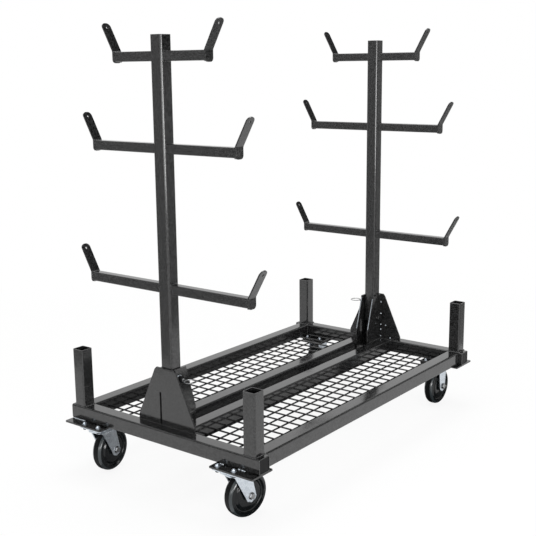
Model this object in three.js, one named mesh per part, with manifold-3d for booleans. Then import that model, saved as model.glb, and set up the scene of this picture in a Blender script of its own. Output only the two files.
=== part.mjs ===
import * as THREE from 'three';
import Module from 'manifold-3d';

// Bar and pipe rack cart with two folding centre masts. Millimetres, +Z up.
// Origin on the floor at the middle of the base. Front end is -X, right side is -Y.

// Base frame
const baseLength = 1386;
const frameWidth = 804;
const railOverhang = 14.5;
const railSize = 50.8;
const railWall = 3;
const railCorner = 4;

// Corner stakes
const stakeSize = 47.6;
const stakeWall = 3;
const stakeCorner = 4;
const stakeHeight = 203;

// Deck mesh
const meshDrop = 38;
const meshWire = 4.8;
const meshCountAcross = 5;
const meshCountAlong = 26;

// Masts, arms and arm tips
const mastSize = 47.6;
const mastWall = 3;
const mastCorner = 4;
const mastHead = 64.5;
const armSize = 31;
const armWall = 2;
const armCorner = 3;
const armNeck = 0.5;
const lowArmRise = 457.2;
const midArmStep = 445.3;
const topArmStep = 280;
const topArmLength = 380;
const midArmLength = 597;
const lowArmLength = 677;
const tipWidth = 34;
const tipThickness = 5;
const tipLean = 29;
const tipReach = 100;
const tipFoot = 3.5;
const tipKnee = 2;
const tipCorner = 14;
const tipFootCorner = 11;
const tipHole = 9;
const tipHoleInset = 15;

// Mast brackets
const plateThickness = 6.4;
const plateCrown = 35;
const plateTopWidth = 92;
const plateFootWidth = 246;
const plateChamfer = 8;
const plateFoot = 18;
const plateSetback = 4.6;
const plateSlotWidth = 6;
const plateSlotLength = 113;
const gussetThickness = 6;
const gussetDepth = 56;
const gussetNeck = 14;
const gussetKnee = 48;
const gussetDrop = 2;
const pivotRise = 45;
const pivotSize = 16;
const boltHeadSize = 28;
const boltHeadHeight = 10;
const foldGap = 2;
const pinRise = 160;
const pinSize = 12;
const pinSetback = 0.4;
const pinStub = 12;
const plungerLength = 22;
const plungerSize = 22;
const ringSize = 42;
const ringWire = 4;

// Casters
const padWidth = 172;
const padOverhang = 34;
const frontPadDepth = 101;
const rearPadDepth = 124;
const padPlate = 6;
const casterInset = 116.5;
const casterSetback = 60;
const casterPlate = 5;
const casterPlateLength = 114;
const casterPlateWidth = 101.6;
const casterPlateCorner = 8;
const racewayHeight = 9;
const racewaySize = 84;
const kingpinSize = 20;
const kingpinDrop = 1;
const crownThickness = 5;
const crownFront = 43;
const crownBack = 38;
const crownGap = 7;
const casterLead = 40;
const leftSwivel = 6;
const rightSwivel = -11;
const wheelSize = 152;
const wheelWidth = 40;
const wheelShoulder = 8;
const wheelCrown = 5;
const wheelBand = 10;
const wheelDish = 6;
const wheelDishSlope = 4;
const hubWall = 11;
const axleSize = 14;
const axleStub = 6;
const legThickness = 5;
const legGap = 4;
const legEye = 14;
const legFront = 30;
const rigidLegHalf = 32;

// Gap between pieces that are cut to fit or that turn
const clearance = 0.3;
// How far one solid runs into another where two are made one, or past a face that it cuts
const bite = 1;

// Derived positions
const rideHeight = wheelSize + crownGap + crownThickness + racewayHeight + casterPlate + padPlate;
const railTop = rideHeight + railSize;
const endRailLength = frameWidth + 2 * railOverhang;
const endFace = baseLength / 2;
const innerFace = endFace - railSize;
const channelHalf = mastSize / 2 + clearance + gussetThickness;
const plateFace = innerFace + plateSetback;
const mastX = plateFace - clearance - mastSize / 2;
const frontPivotZ = railTop + pivotRise;
const rearPivotZ = frontPivotZ + mastSize + foldGap;
const pinZ = railTop + pinRise;
const plateHeight = pinRise + plateCrown;
const lowArmHeight = railTop + lowArmRise;
const midArmHeight = lowArmHeight + midArmStep;
const topArmHeight = midArmHeight + topArmStep;
const mastTop = topArmHeight + mastHead;
const padTop = rideHeight;
const padBottom = padTop - padPlate;

const wasm = await Module();
wasm.setup();

const group = new THREE.Group();
group.name = 'bar_rack_cart';

const xDir = new THREE.Vector3(1, 0, 0);
const yDir = new THREE.Vector3(0, 1, 0);
const zDir = new THREE.Vector3(0, 0, 1);
const along = {
  x: new THREE.Matrix4().makeBasis(yDir, zDir, xDir),
  y: new THREE.Matrix4().makeBasis(xDir, zDir, yDir.clone().negate()),
  z: new THREE.Matrix4(),
};

// A closed solid from a geometry, with equal corners joined.
function toSolid(geometry) {
  const flat = geometry.index ? geometry.toNonIndexed() : geometry;
  const position = flat.getAttribute('position');
  const corners = new Map();
  const points = [];
  const triangles = [];
  for (let i = 0; i < position.count; i += 3) {
    const face = [0, 1, 2].map((k) => {
      const p = [position.getX(i + k), position.getY(i + k), position.getZ(i + k)];
      const key = p.map((v) => Math.round(v * 1e4)).join(' ');
      if (!corners.has(key)) {
        corners.set(key, points.length / 3);
        points.push(...p);
      }
      return corners.get(key);
    });
    if (new Set(face).size === 3) {
      triangles.push(...face);
    }
  }
  return new wasm.Manifold(new wasm.Mesh({
    numProp: 3,
    vertProperties: new Float32Array(points),
    triVerts: new Uint32Array(triangles),
  }));
}

function toGeometry(solid) {
  const mesh = solid.asOriginal().simplify(0.001).getMesh();
  const geometry = new THREE.BufferGeometry();
  geometry.setAttribute('position', new THREE.BufferAttribute(new Float32Array(mesh.vertProperties), 3));
  geometry.setIndex(new THREE.BufferAttribute(new Uint32Array(mesh.triVerts), 1));
  geometry.computeVertexNormals();
  return geometry;
}

function join(first, ...rest) {
  return toGeometry(rest.reduce((solid, g) => solid.add(toSolid(g)), toSolid(first)));
}

function cut(first, ...rest) {
  return toGeometry(rest.reduce((solid, g) => solid.subtract(toSolid(g)), toSolid(first)));
}

function overlap(first, second) {
  return toGeometry(toSolid(first).intersect(toSolid(second)));
}

function circlePoints(x, y, radius, count) {
  return Array.from({ length: count }, (_, i) => {
    const a = (i + 0.5) / count * Math.PI * 2;
    return new THREE.Vector2(x + radius * Math.cos(a), y + radius * Math.sin(a));
  });
}

function arcPoints(x, y, radius, from, to, steps) {
  return Array.from({ length: steps + 1 }, (_, i) => {
    const a = from + (to - from) * i / steps;
    return new THREE.Vector2(x + radius * Math.cos(a), y + radius * Math.sin(a));
  });
}

function roundedPoints(width, height, radius, steps) {
  const w = width / 2 - radius;
  const h = height / 2 - radius;
  const q = Math.PI / 2;
  return [
    ...arcPoints(w, h, radius, 0, q, steps),
    ...arcPoints(-w, h, radius, q, 2 * q, steps),
    ...arcPoints(-w, -h, radius, 2 * q, 3 * q, steps),
    ...arcPoints(w, -h, radius, 3 * q, 4 * q, steps),
  ];
}

function points(...pairs) {
  return pairs.map(([a, b]) => new THREE.Vector2(a, b));
}

// Extrudes an outline along an axis, from one position on the axis to another.
// The outline is drawn in (y, z) for the x axis, (x, z) for the y axis and (x, y) for the z axis.
function extrude(outline, holes, axis, from, to) {
  const shape = new THREE.Shape(outline);
  holes.forEach((hole) => shape.holes.push(new THREE.Path(hole)));
  const geometry = new THREE.ExtrudeGeometry(shape, { depth: to - from, bevelEnabled: false });
  geometry.applyMatrix4(along[axis]);
  const start = axis === 'y' ? to : from;
  return geometry.translate(axis === 'x' ? start : 0, axis === 'y' ? start : 0, axis === 'z' ? start : 0);
}

function box(x0, x1, y0, y1, z0, z1) {
  const geometry = new THREE.BoxGeometry(x1 - x0, y1 - y0, z1 - z0);
  return geometry.translate((x0 + x1) / 2, (y0 + y1) / 2, (z0 + z1) / 2);
}

function squareTube(size, wall, corner, axis, from, to) {
  const inner = size - 2 * wall;
  const hole = roundedPoints(inner, inner, Math.max(corner - wall, clearance), 1);
  return extrude(roundedPoints(size, size, corner, 2), [hole], axis, from, to);
}

function rod(radius, axis, from, to, count) {
  return extrude(circlePoints(0, 0, radius, count), [], axis, from, to);
}

function add(name, geometry, color, metalness, roughness) {
  const mesh = new THREE.Mesh(geometry, new THREE.MeshStandardMaterial({ color, metalness, roughness }));
  mesh.name = name;
  group.add(mesh);
}

function addPainted(name, geometry) {
  add(name, geometry, 0x4a4b4c, 0.2, 0.5);
}

function addZinc(name, geometry) {
  add(name, geometry, 0xb9c0c6, 0.9, 0.3);
}

const ends = [
  { name: 'front', turn: 0, pivotZ: frontPivotZ },
  { name: 'rear', turn: Math.PI, pivotZ: rearPivotZ },
];
const sides = [
  { name: 'left', sign: 1, swivel: THREE.MathUtils.degToRad(leftSwivel) },
  { name: 'right', sign: -1, swivel: THREE.MathUtils.degToRad(rightSwivel) },
];

// End rails are open-ended tubes across the whole width.
for (const end of ends) {
  const tube = squareTube(railSize, railWall, railCorner, 'y', -endRailLength / 2, endRailLength / 2);
  tube.translate(-endFace + railSize / 2, 0, rideHeight + railSize / 2);
  addPainted(`${end.name}_end_rail`, tube.rotateZ(end.turn));
}

// Side rails and centre rails run between the end rails. The centre rails leave a channel for the masts.
for (const side of sides) {
  const lanes = [
    { name: 'side', middle: (frameWidth - railSize) / 2 },
    { name: 'center', middle: channelHalf + railSize / 2 },
  ];
  for (const lane of lanes) {
    const tube = squareTube(railSize, railWall, railCorner, 'x', -innerFace, innerFace);
    tube.translate(0, side.sign * lane.middle, rideHeight + railSize / 2);
    addPainted(`${side.name}_${lane.name}_rail`, tube);
  }
}

// Deck mesh panels sit below the rail tops, one in each tray.
for (const side of sides) {
  const inner = channelHalf + railSize;
  const outer = frameWidth / 2 - railSize;
  const top = railTop - meshDrop;
  const spread = (from, to, count) => Array.from({ length: count + 1 }, (_, i) => {
    const middle = from + (to - from) * i / count;
    return Math.min(Math.max(middle, from + meshWire / 2), to - meshWire / 2);
  });
  const lengthwise = spread(inner, outer, meshCountAcross).map((y) => box(
    -innerFace,
    innerFace,
    y - meshWire / 2,
    y + meshWire / 2,
    top - meshWire,
    top,
  ));
  const crosswise = spread(-innerFace, innerFace, meshCountAlong).map((x) => box(
    x - meshWire / 2,
    x + meshWire / 2,
    inner,
    outer,
    top - meshWire,
    top,
  ));
  const panel = join(...lengthwise, ...crosswise);
  addPainted(`${side.name}_deck_mesh`, panel.rotateZ(side.sign > 0 ? 0 : Math.PI));
}

// Open-topped corner stakes stand on the end rails.
for (const end of ends) {
  for (const side of sides) {
    const stake = squareTube(stakeSize, stakeWall, stakeCorner, 'z', railTop, railTop + stakeHeight);
    const x = Math.cos(end.turn) * (-endFace + railSize / 2);
    stake.translate(x, side.sign * (frameWidth - railSize) / 2, 0);
    addPainted(`${end.name}_${side.name}_stake`, stake);
  }
}

// Mast brackets, drawn for the front end and turned half a circle for the rear end.
for (const end of ends) {
  const legs = plateFootWidth / 2;
  const crown = plateTopWidth / 2;
  const slotY = channelHalf - gussetThickness - bite;
  const slotHalf = plateSlotWidth / 2;
  const outline = [
    ...points([-legs, 0], [slotY - slotHalf, 0]),
    ...arcPoints(slotY, plateSlotLength - slotHalf, slotHalf, Math.PI, 0, 4),
    ...points(
      [slotY + slotHalf, 0],
      [legs, 0],
      [legs, plateFoot],
      [crown, plateHeight - plateChamfer],
      [crown - plateChamfer, plateHeight],
      [-crown + plateChamfer, plateHeight],
      [-crown, plateHeight - plateChamfer],
      [-legs, plateFoot],
    ),
  ];
  const plate = extrude(outline, [], 'x', -plateFace - plateThickness, -plateFace);
  plate.translate(0, 0, railTop);
  addPainted(`${end.name}_mast_plate`, plate.rotateZ(end.turn));

  const inside = -mastX + mastSize / 2;
  const gussetTop = railTop + plateHeight - gussetDrop;
  const gusset = points(
    [-innerFace, rideHeight],
    [inside + gussetDepth, rideHeight],
    [inside + gussetDepth, railTop + gussetKnee],
    [inside + gussetNeck, gussetTop],
    [-plateFace, gussetTop],
    [-plateFace, railTop],
    [-innerFace, railTop],
  );
  const pivotHole = circlePoints(-mastX, end.pivotZ, pivotSize / 2 + clearance, 16);
  const pinHole = circlePoints(-mastX, pinZ, pinSize / 2 + clearance, 16);
  const left = extrude(gusset, [pivotHole], 'y', channelHalf - gussetThickness, channelHalf);
  const right = extrude(gusset, [pivotHole, pinHole], 'y', -channelHalf, -channelHalf + gussetThickness);
  const names = end.turn === 0 ? ['left', 'right'] : ['right', 'left'];
  addPainted(`${end.name}_${names[0]}_gusset`, left.rotateZ(end.turn));
  addPainted(`${end.name}_${names[1]}_gusset`, right.rotateZ(end.turn));

  const head = channelHalf + boltHeadHeight;
  const bolt = join(
    rod(pivotSize / 2, 'y', -channelHalf - bite, channelHalf + bite, 16),
    rod(boltHeadSize / 2, 'y', channelHalf, head, 6),
    rod(boltHeadSize / 2, 'y', -head, -channelHalf, 6),
  );
  bolt.translate(-mastX, 0, end.pivotZ);
  addZinc(`${end.name}_pivot_bolt`, bolt.rotateZ(end.turn));

  const barrelHole = circlePoints(0, 0, pinSize / 2 + clearance, 16);
  const barrel = extrude(
    circlePoints(0, 0, plungerSize / 2, 16),
    [barrelHole],
    'y',
    -channelHalf - plungerLength,
    -channelHalf,
  );
  barrel.translate(-mastX, 0, pinZ);
  add(`${end.name}_plunger_barrel`, barrel.rotateZ(end.turn), 0x151617, 0.2, 0.45);

  const pinTail = -channelHalf - plungerLength - pinStub;
  const ringMiddle = pinTail - ringSize / 2 + ringWire;
  const ring = new THREE.TorusGeometry((ringSize - ringWire) / 2, ringWire / 2, 6, 16);
  const pin = join(
    rod(pinSize / 2, 'y', pinTail, -channelHalf + gussetThickness - pinSetback, 12),
    ring.translate(0, ringMiddle, 0),
  );
  pin.translate(-mastX, 0, pinZ);
  addZinc(`${end.name}_lock_pin`, pin.rotateZ(end.turn));
}

// Masts, arms and tips. The arms pass through the masts on a slightly smaller neck; each tip is a bent flat bar.
const arms = [
  { name: 'top', height: topArmHeight, length: topArmLength },
  { name: 'mid', height: midArmHeight, length: midArmLength },
  { name: 'low', height: lowArmHeight, length: lowArmLength },
];

function armGeometry(length) {
  const end = length / 2;
  const half = mastSize / 2;
  const neck = armSize - 2 * armNeck;
  const bore = armSize - 2 * armWall;
  const outline = roundedPoints(armSize, armSize, armCorner, 2);
  const solid = join(
    extrude(outline, [], 'y', -end, -half),
    extrude(outline, [], 'y', half, end),
    extrude(roundedPoints(neck, neck, armCorner - armNeck, 1), [], 'y', -half - bite, half + bite),
  );
  const hole = roundedPoints(bore, bore, Math.max(armCorner - armWall, clearance), 1);
  return cut(solid, extrude(hole, [], 'y', -end - bite, end + bite));
}

for (const end of ends) {
  const tube = squareTube(mastSize, mastWall, mastCorner, 'z', end.pivotZ - mastSize / 2, mastTop);
  const half = mastSize / 2;
  const rounded = [
    ...points([half + bite, mastTop + bite], [-half - bite, mastTop + bite], [-half - bite, end.pivotZ]),
    ...arcPoints(0, end.pivotZ, half, Math.PI, 2 * Math.PI, 14),
    ...points([half + bite, end.pivotZ]),
  ];
  const shaped = overlap(tube, extrude(rounded, [], 'y', -half - bite, half + bite));
  const window = armSize / 2 - armNeck + clearance;
  const openings = arms.map((arm) => box(
    -window,
    window,
    -half - bite,
    half + bite,
    arm.height - window,
    arm.height + window,
  ));
  const mast = cut(
    shaped,
    rod(pivotSize / 2 + clearance, 'y', -half - bite, half + bite, 16).translate(0, 0, end.pivotZ),
    rod(pinSize / 2 + clearance, 'y', -half - bite, 0, 16).translate(0, 0, pinZ),
    ...openings,
  );
  addPainted(`${end.name}_mast`, mast.translate(-mastX, 0, 0).rotateZ(end.turn));

  for (const arm of arms) {
    const bar = armGeometry(arm.length);
    bar.translate(-mastX, 0, arm.height);
    addPainted(`${end.name}_${arm.name}_arm`, bar.rotateZ(end.turn));

    for (const side of sides) {
      const bend = armSize / 2 + tipKnee;
      const footCorner = Math.min(tipFootCorner, tipWidth / 2 - bite);
      const footX = tipWidth / 2 - footCorner;
      const footZ = -armSize / 2 - tipFoot + footCorner;
      const foot = extrude(
        [
          ...arcPoints(-footX, footZ, footCorner, Math.PI, 1.5 * Math.PI, 2),
          ...arcPoints(footX, footZ, footCorner, 1.5 * Math.PI, 2 * Math.PI, 2),
          ...points([tipWidth / 2, bend], [-tipWidth / 2, bend]),
        ],
        [],
        'y',
        -tipThickness,
        0,
      );
      const corner = Math.min(tipCorner, tipWidth / 2 - bite);
      const blade = extrude(
        [
          ...points([-tipWidth / 2, 0], [tipWidth / 2, 0]),
          ...arcPoints(tipWidth / 2 - corner, tipReach - corner, corner, 0, Math.PI / 2, 2),
          ...arcPoints(-tipWidth / 2 + corner, tipReach - corner, corner, Math.PI / 2, Math.PI, 2),
        ],
        [circlePoints(0, tipReach - tipHoleInset, tipHole / 2, 8)],
        'y',
        -tipThickness,
        0,
      );
      const lean = THREE.MathUtils.degToRad(tipLean);
      blade.rotateX(lean).translate(0, 0, bend);
      const knee = extrude(
        arcPoints(0, bend, tipThickness, Math.PI, Math.PI + lean, 2).concat(points([0, bend])),
        [],
        'x',
        -tipWidth / 2,
        tipWidth / 2,
      );
      const tip = join(foot, blade, knee);
      tip.translate(0, -arm.length / 2, 0);
      tip.rotateZ(side.sign > 0 ? Math.PI : 0);
      const x = Math.cos(end.turn) * -mastX;
      addPainted(`${end.name}_${arm.name}_${side.name}_tip`, tip.translate(x, 0, arm.height));
    }
  }
}

// Caster pads are flat plates under the corners, reaching out past the end rail.
function padGeometry(end, side, depth) {
  const endSign = -Math.cos(end.turn);
  const outerX = endSign * (endFace + padOverhang);
  const innerX = endSign * (endFace + padOverhang - depth);
  const outerY = side.sign * endRailLength / 2;
  const innerY = side.sign * (endRailLength / 2 - padWidth);
  const outline = points([outerX, innerY], [innerX, innerY], [innerX, outerY], [outerX, outerY]);
  return extrude(outline, [], 'z', padBottom, padTop);
}

// One-piece wheel with rounded shoulders, dished sides and a plain bore.
function wheelGeometry() {
  const r = wheelSize / 2;
  const w = wheelWidth / 2;
  const bore = axleSize / 2 + clearance;
  const hub = axleSize / 2 + hubWall;
  const rim = r - wheelCrown - wheelBand;
  const dish = w - wheelDish;
  const profile = points(
    [bore, -w],
    [hub, -w],
    [hub + wheelDishSlope, -dish],
    [rim - wheelDishSlope, -dish],
    [rim, -w],
    [r - wheelCrown, -w],
    [r, -w + wheelShoulder],
    [r, w - wheelShoulder],
    [r - wheelCrown, w],
    [rim, w],
    [rim - wheelDishSlope, dish],
    [hub + wheelDishSlope, dish],
    [hub, w],
    [bore, w],
    [bore, -w],
  );
  return new THREE.LatheGeometry(profile, 24);
}

// A fork leg: broad at the top and round at the axle.
function legGeometry(topFront, topBack, topZ, axleX, y) {
  const radius = axleSize / 2 + legEye;
  const axleZ = wheelSize / 2;
  const outline = [
    ...points([topBack, topZ], [topFront, topZ]),
    ...arcPoints(axleX, axleZ, radius, Math.PI * 1.08, Math.PI * 1.92, 8),
  ];
  return extrude(outline, [], 'y', y - legThickness / 2, y + legThickness / 2);
}

const legY = wheelWidth / 2 + legGap + legThickness / 2;
const axleEnd = legY + legThickness / 2 + axleStub;
const casterY = endRailLength / 2 - casterInset;
const frontCasterX = -endFace - padOverhang + casterSetback;
const rearCasterX = endFace + padOverhang - wheelSize / 2;
const racewayTop = padBottom - casterPlate;
const crownTop = racewayTop - racewayHeight;
const crownBottom = crownTop - crownThickness;

for (const side of sides) {
  const y = side.sign * casterY;
  addPainted(`front_${side.name}_caster_pad`, padGeometry(ends[0], side, frontPadDepth));
  addPainted(`rear_${side.name}_caster_pad`, padGeometry(ends[1], side, rearPadDepth));

  const plateOutline = roundedPoints(casterPlateLength, casterPlateWidth, casterPlateCorner, 2);
  const topPlate = extrude(
    plateOutline,
    [circlePoints(0, 0, kingpinSize / 2 + clearance, 14)],
    'z',
    racewayTop,
    padBottom,
  );
  const raceway = extrude(
    circlePoints(0, 0, racewaySize / 2, 20),
    [circlePoints(0, 0, kingpinSize / 2 + clearance, 14)],
    'z',
    crownTop + clearance,
    racewayTop + bite,
  );
  addZinc(`front_${side.name}_caster_plate`, join(topPlate, raceway).translate(frontCasterX, y, 0));

  const half = legY + legThickness / 2;
  const swivelFork = join(
    box(-crownFront, crownBack, -half, half, crownBottom, crownTop),
    rod(kingpinSize / 2, 'z', crownTop - bite, padBottom - kingpinDrop, 14),
    legGeometry(-legFront, crownBack, crownTop, casterLead, legY),
    legGeometry(-legFront, crownBack, crownTop, casterLead, -legY),
    rod(axleSize / 2, 'y', -axleEnd, axleEnd, 12).translate(casterLead, 0, wheelSize / 2),
  );
  swivelFork.rotateZ(side.swivel).translate(frontCasterX, y, 0);
  addZinc(`front_${side.name}_swivel_fork`, swivelFork);

  const rigidFork = join(
    extrude(plateOutline, [], 'z', racewayTop, padBottom),
    legGeometry(-rigidLegHalf, rigidLegHalf, racewayTop + bite, 0, legY),
    legGeometry(-rigidLegHalf, rigidLegHalf, racewayTop + bite, 0, -legY),
    rod(axleSize / 2, 'y', -axleEnd, axleEnd, 12).translate(0, 0, wheelSize / 2),
  );
  addZinc(`rear_${side.name}_rigid_fork`, rigidFork.translate(rearCasterX, y, 0));

  for (const end of ends) {
    const wheel = wheelGeometry();
    if (end.turn === 0) {
      wheel.translate(casterLead, 0, 0).rotateZ(side.swivel).translate(frontCasterX, y, wheelSize / 2);
    } else {
      wheel.translate(rearCasterX, y, wheelSize / 2);
    }
    add(`${end.name}_${side.name}_wheel`, wheel, 0x0c0d0e, 0, 0.25);
  }
}

export default group;
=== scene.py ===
import math

import bmesh
import bpy
from mathutils import Matrix, Vector


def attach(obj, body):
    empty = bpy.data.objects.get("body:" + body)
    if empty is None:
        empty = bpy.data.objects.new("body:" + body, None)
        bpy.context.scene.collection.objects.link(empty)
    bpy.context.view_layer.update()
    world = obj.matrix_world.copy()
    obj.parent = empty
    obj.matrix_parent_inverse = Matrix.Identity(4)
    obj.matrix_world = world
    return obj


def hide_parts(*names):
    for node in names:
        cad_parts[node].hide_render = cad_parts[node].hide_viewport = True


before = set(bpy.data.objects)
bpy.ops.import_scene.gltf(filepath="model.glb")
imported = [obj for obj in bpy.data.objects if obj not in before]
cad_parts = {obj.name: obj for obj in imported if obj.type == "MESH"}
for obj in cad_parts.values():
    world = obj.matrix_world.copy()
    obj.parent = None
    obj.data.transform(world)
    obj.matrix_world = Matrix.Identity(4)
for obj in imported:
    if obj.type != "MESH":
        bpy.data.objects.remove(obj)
scene = bpy.context.scene
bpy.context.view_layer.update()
print("stage: frame loaded")

# Sizes shared by several pieces, in millimetres, as in the CAD.
cart = {
    "railTop": 234.8,
    "railBottom": 184.0,
    "endFace": 693.0,
    "innerFace": 642.2,
    "plateFace": 646.8,
    "sideMiddle": 376.6,
    "centerMiddle": 55.5,
    "channelHalf": 30.1,
    "mastX": 622.7,
    "mastHalf": 23.8,
    "pinZ": 394.8,
    "padBottom": 178.0,
    "casterY": 300.0,
    "axleZ": 76.0,
}
ends = {
    "front": {"sign": -1, "pivotZ": 279.8, "casterX": -667.0, "lead": 40.0},
    "rear": {"sign": 1, "pivotZ": 329.4, "casterX": 651.0, "lead": 0.0},
}
sides = {"left": 1, "right": -1}
swivel = {"left": math.radians(6), "right": math.radians(-11)}
arms = {
    "top": {"height": 1417.3, "length": 380.0},
    "mid": {"height": 1137.3, "length": 597.0},
    "low": {"height": 692.0, "length": 677.0},
}
mm = 0.001
origin = (0, 0, 0)
quarter = math.pi / 2
boxCorners = [(-1, -1), (1, -1), (1, 1), (-1, 1)]


# Points drawn for the front end, turned half a circle for the rear end.
def turned(end, point):
    turn = -ends[end]["sign"]
    return (turn * point[0], turn * point[1], point[2])


def cleaned(mesh):
    work = bmesh.new()
    work.from_mesh(mesh)
    bmesh.ops.remove_doubles(work, verts=work.verts, dist=1e-6)
    bmesh.ops.dissolve_degenerate(work, edges=work.edges, dist=1e-7)
    bmesh.ops.recalc_face_normals(work, faces=work.faces)
    work.to_mesh(mesh)
    work.free()
    return mesh


def meshFrom(name, points, faces):
    mesh = bpy.data.meshes.new(name)
    mesh.from_pydata([Vector(p) * mm for p in points], [], faces)
    return cleaned(mesh)


def linked(name, data):
    piece = bpy.data.objects.new(name, data)
    scene.collection.objects.link(piece)
    return piece


# Loose points, some of them joined by edges, for a node tree to work on.
def loosePiece(name, points, edges=()):
    mesh = bpy.data.meshes.new(name)
    mesh.from_pydata([Vector(p) * mm for p in points], list(edges), [])
    return linked(name, mesh)


# Freezes an object's modifiers into a new mesh and takes the object away.
def frozen(piece):
    bpy.context.view_layer.update()
    graph = bpy.context.evaluated_depsgraph_get()
    mesh = bpy.data.meshes.new_from_object(piece.evaluated_get(graph), depsgraph=graph)
    bpy.data.objects.remove(piece)
    return mesh


# Smooth shading that keeps flat faces flat up to their rounded edges.
def shaded(name, mesh, sharp):
    for polygon in mesh.polygons:
        polygon.use_smooth = True
        polygon.material_index = 0
    mesh.set_sharp_from_angle(angle=math.radians(sharp))
    raw = linked(name, mesh)
    even = raw.modifiers.new("even", "WEIGHTED_NORMAL")
    even.keep_sharp = True
    return frozen(raw)


# Makes a finished piece: shading and material, the body it rides on and the CAD nodes it stands for.
def addPiece(name, mesh, finish, body, nodes=(), sharp=32):
    material, slotName = finish
    mesh = shaded(name, mesh, sharp)
    mesh.materials.clear()
    mesh.materials.append(material)
    piece = linked(name, mesh)
    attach(piece, body)
    if nodes:
        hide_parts(*nodes)


# Makes a piece from points and faces. A caster's piece is moved to its place first.
def addSolid(name, shape, finish, body, nodes=(), sharp=32, place=None):
    mesh = meshFrom(name, *shape)
    if place is not None:
        mesh.transform(place)
    addPiece(name, mesh, finish, body, nodes, sharp)


def joined(parts):
    points = []
    faces = []
    for partPoints, partFaces in parts:
        start = len(points)
        points += partPoints
        faces += [[index + start for index in face] for face in partFaces]
    return points, faces


# Quads between rings of equally many points. The last ring meets the first when the strip is closed.
def strip(rings, closed):
    count = len(rings[0])
    points = [point for ring in rings for point in ring]
    faces = []
    for i in range(len(rings) if closed else len(rings) - 1):
        k = (i + 1) % len(rings)
        for j in range(count):
            n = (j + 1) % count
            faces.append([i * count + j, i * count + n, k * count + n, k * count + j])
    return points, faces


# Solid from stacked rings with flat ends.
def stacked(rings):
    points, faces = strip(rings, False)
    count = len(rings[0])
    faces.append(list(range(count)))
    faces.append(list(range(len(points) - count, len(points))))
    return points, faces


def arcLine(x, y, radius, start, stop, steps):
    angles = [start + (stop - start) * i / steps for i in range(steps + 1)]
    return [(x + radius * math.cos(angle), y + radius * math.sin(angle)) for angle in angles]


def circleLine(x, y, radius, steps):
    return arcLine(x, y, radius, 0, 4 * quarter, steps)[:-1]


def roundedBox(width, height, radius, steps):
    w = width / 2 - radius
    h = height / 2 - radius
    line = []
    for i, (x, y) in enumerate([(w, h), (-w, h), (-w, -h), (w, -h)]):
        line += arcLine(x, y, radius, i * quarter, (i + 1) * quarter, steps)
    return line


def onAxis(axis, middle, a, b, s):
    if axis == "x":
        return (s, middle[1] + a, middle[2] + b)
    if axis == "y":
        return (middle[0] + a, s, middle[2] + b)
    return (middle[0] + a, middle[1] + b, s)


# Flat rings, each at its own position along an axis.
def ringsAlong(axis, middle, stations):
    return [[onAxis(axis, middle, a, b, s) for a, b in ring] for ring, s in stations]


tubeEnd = {"lip": 0.5, "steps": 6, "leastCorner": 0.6}


# Open square tube with rounded corners and broken end edges.
def squareTube(section, axis, middle, start, stop):
    lip = tubeEnd["lip"]
    steps = tubeEnd["steps"]
    size = section["size"]
    corner = section["corner"]
    inner = size - 2 * section["wall"]
    innerCorner = max(corner - section["wall"], tubeEnd["leastCorner"])
    outerRing = roundedBox(size, size, corner, steps)
    outerLip = roundedBox(size - 2 * lip, size - 2 * lip, corner - lip, steps)
    innerRing = roundedBox(inner, inner, innerCorner, steps)
    innerLip = roundedBox(inner + lip, inner + lip, innerCorner + lip / 2, steps)
    stations = [
        (outerRing, start + lip),
        (outerRing, stop - lip),
        (outerLip, stop),
        (innerLip, stop),
        (innerRing, stop - lip),
        (innerRing, start + lip),
        (innerLip, start),
        (outerLip, start),
    ]
    return strip(ringsAlong(axis, middle, stations), True)


# Revolves a closed profile of (radius, position) points round an axis.
def revolved(profile, axis, middle, steps):
    rings = []
    for a, b in circleLine(0, 0, 1, steps):
        rings.append([onAxis(axis, middle, r * a, r * b, s) for r, s in profile])
    return strip(rings, True)


# Solid rod through (radius, level) slices, counted from its start.
def rod(levels, axis, middle, start, direction, steps):
    stations = [(circleLine(0, 0, r, steps), start + direction * level) for r, level in levels]
    return stacked(ringsAlong(axis, middle, stations))


hexagon = {"foot": 0.95, "footHeight": 0.6, "crown": 0.86, "crownHeight": 1.8}
discEdge = 0.4


def hexHead(radius, height, axis, middle, start, direction):
    levels = [
        (radius * hexagon["foot"], 0.0),
        (radius, hexagon["footHeight"]),
        (radius, height - hexagon["crownHeight"]),
        (radius * hexagon["crown"], height),
    ]
    return rod(levels, axis, middle, start, direction, steps=6)


def disc(radius, height, axis, middle, start, direction, steps=28):
    levels = [
        (radius - discEdge, 0.0),
        (radius, discEdge),
        (radius, height - discEdge),
        (radius - discEdge, height),
    ]
    return rod(levels, axis, middle, start, direction, steps)


# Shank across the cart with a washer and a hexagon at both ends.
def throughBolt(facts, middle, half, seat):
    parts = [disc(facts["shank"], 2 * half, "y", middle, -half, 1)]
    for direction in (1, -1):
        start = direction * seat
        parts.append(disc(facts["washer"], facts["washerHeight"], "y", middle, start, direction))
        start += direction * facts["washerHeight"]
        parts.append(hexHead(facts["head"], facts["headHeight"], "y", middle, start, direction))
    return joined(parts)


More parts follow.
